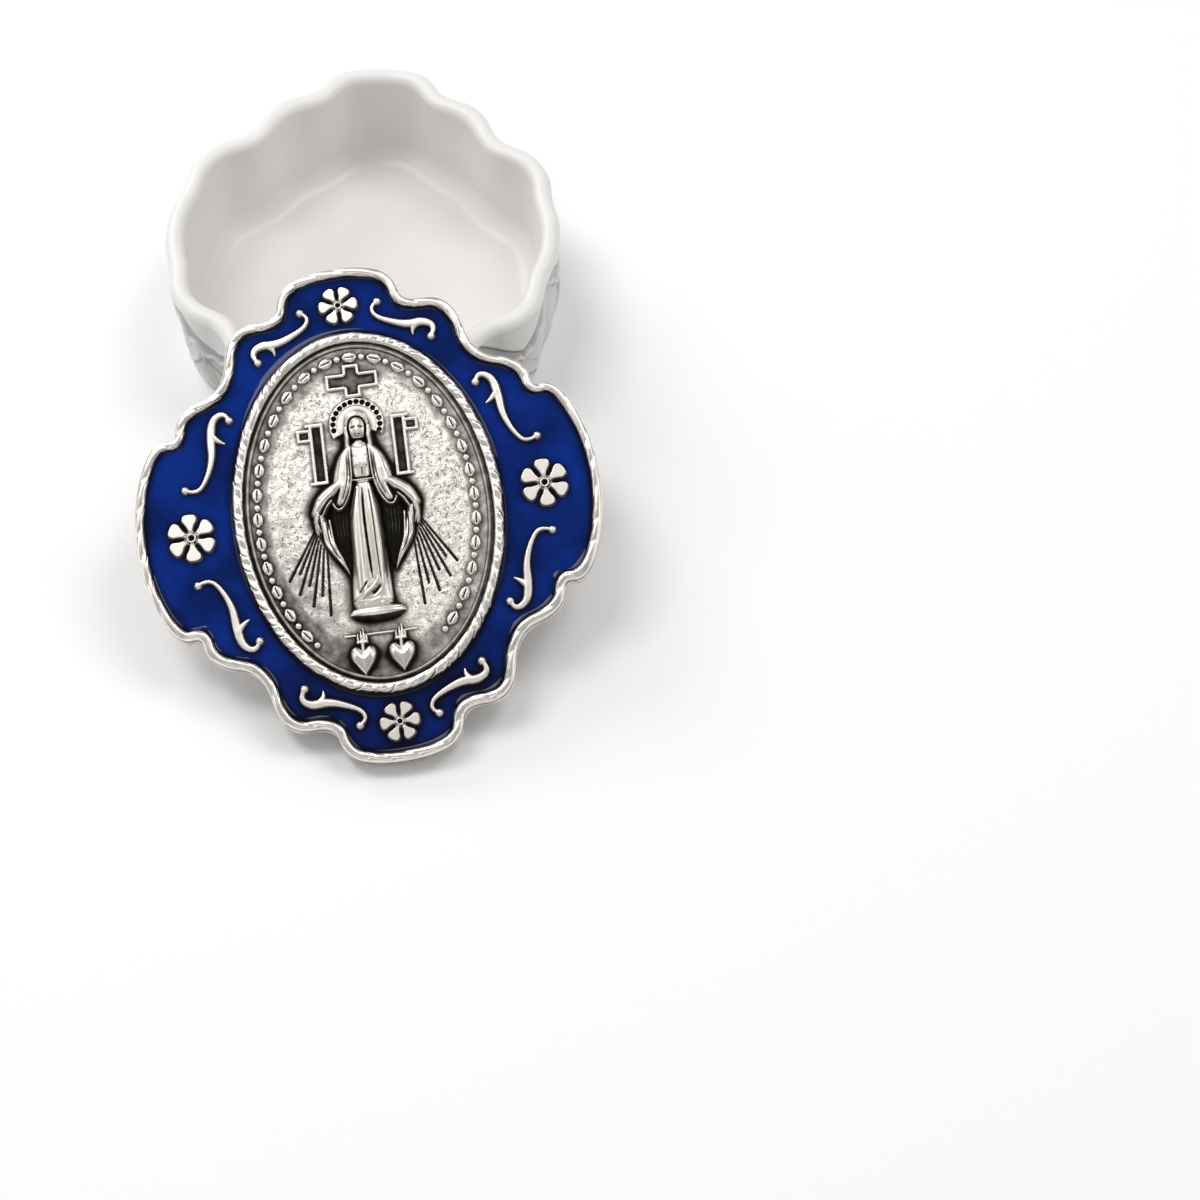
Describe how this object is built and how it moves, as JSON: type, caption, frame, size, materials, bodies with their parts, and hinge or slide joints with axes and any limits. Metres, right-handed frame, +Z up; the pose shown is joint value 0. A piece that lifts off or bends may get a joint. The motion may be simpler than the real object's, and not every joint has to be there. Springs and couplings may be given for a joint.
{
  "type": "rosary box",
  "caption": "Lobed white porcelain keepsake box with its blue enamelled metal lid taken off and leaned against the front rim; the lid carries an oval relief medallion.",
  "frame": {"origin": "centre of the flat foot of the box, on the table", "axes": "+Z up; +X to the right and +Y to the back of the box; the taken-off lid leans on the front lip, on the -Y side"},
  "size_m": [0.0756, 0.1297, 0.0343],
  "materials": {
    "porcelain": "white gloss glaze, softly grey in the recesses",
    "antique_silver": "cast silver-coloured metal, bright on the high edges, dark patina in the recesses",
    "cobalt_enamel": "glossy cobalt-blue enamel"
  },
  "bodies": {
    "box": {"box_body": "porcelain"},
    "lid": {"lid_plate": "antique_silver", "locating_ring": "antique_silver", "outer_rim": "antique_silver", "enamel_field": "cobalt_enamel", "medallion_bezel": "antique_silver", "medallion": "antique_silver", "medallion_border": "antique_silver", "ornament_ring": "antique_silver", "figure_robe": "antique_silver", "mantle_left": "antique_silver", "mantle_right": "antique_silver", "veiled_head": "antique_silver", "halo": "antique_silver", "globe": "antique_silver", "cross": "antique_silver", "pillar_left": "antique_silver", "pillar_right": "antique_silver", "rays_left": "antique_silver", "rays_right": "antique_silver", "heart_left": "antique_silver", "heart_right": "antique_silver", "heart_bar": "antique_silver", "flower_top": "antique_silver", "flower_right": "antique_silver", "flower_bottom": "antique_silver", "flower_left": "antique_silver", "scroll_upper_right": "antique_silver", "scroll_right_upper": "antique_silver", "scroll_right_lower": "antique_silver", "scroll_lower_right": "antique_silver", "scroll_lower_left": "antique_silver", "scroll_left_lower": "antique_silver", "scroll_left_upper": "antique_silver", "scroll_upper_left": "antique_silver"}
  },
  "joints": [
    {"name": "lid_lift", "type": "slide", "parent": "box", "child": "lid", "axis": [-0.0355, 0.8473, 0.5299], "range_m": [0, 0.065]}
  ]
}
